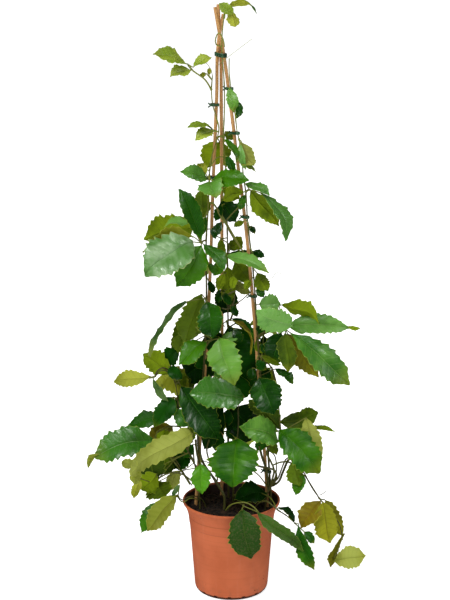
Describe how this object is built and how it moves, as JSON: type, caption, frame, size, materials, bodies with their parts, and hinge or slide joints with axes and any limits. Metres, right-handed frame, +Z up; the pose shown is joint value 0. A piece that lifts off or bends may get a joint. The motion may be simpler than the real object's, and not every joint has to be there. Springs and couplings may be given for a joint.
{
  "type": "potted chestnut vine",
  "caption": "Chestnut vine with large toothed leaflets in a round terracotta-coloured nursery pot, its stems tied up bamboo canes that lean together at the top.",
  "frame": {"origin": "centre of the pot's flat base", "axes": "+Z up along the pot's axis, -Y to the front that the picture shows, +X to the picture's right"},
  "size_m": [0.5448, 0.3137, 1.2021],
  "materials": {
    "pot_plastic": "matte terracotta-coloured moulded plastic, slightly dusty",
    "soil": "rough dark peaty potting mix",
    "bamboo": "dry yellow-brown bamboo, satin, with darker joints",
    "leaf": "green leaflets, glossy above and felted olive-brown below, with thin olive stems",
    "tie_plastic": "dark green flat plastic band"
  },
  "bodies": {
    "root": {"pot": "pot_plastic", "soil": "soil", "cane_left": "bamboo", "cane_right": "bamboo", "cane_back": "bamboo", "vine_left": "leaf", "vine_right": "leaf", "vine_back": "leaf", "shoot_left": "leaf", "shoot_right": "leaf", "shoot_front": "leaf", "shoot_side": "leaf", "sprig_left": "leaf", "shoot_centre": "leaf", "tie_top": "tie_plastic", "tie_upper_left": "tie_plastic", "tie_upper_right": "tie_plastic", "tie_right_high": "tie_plastic", "tie_left_middle": "tie_plastic", "tie_right_middle": "tie_plastic", "tie_right_low": "tie_plastic", "tie_right_foot": "tie_plastic"}
  },
  "joints": []
}
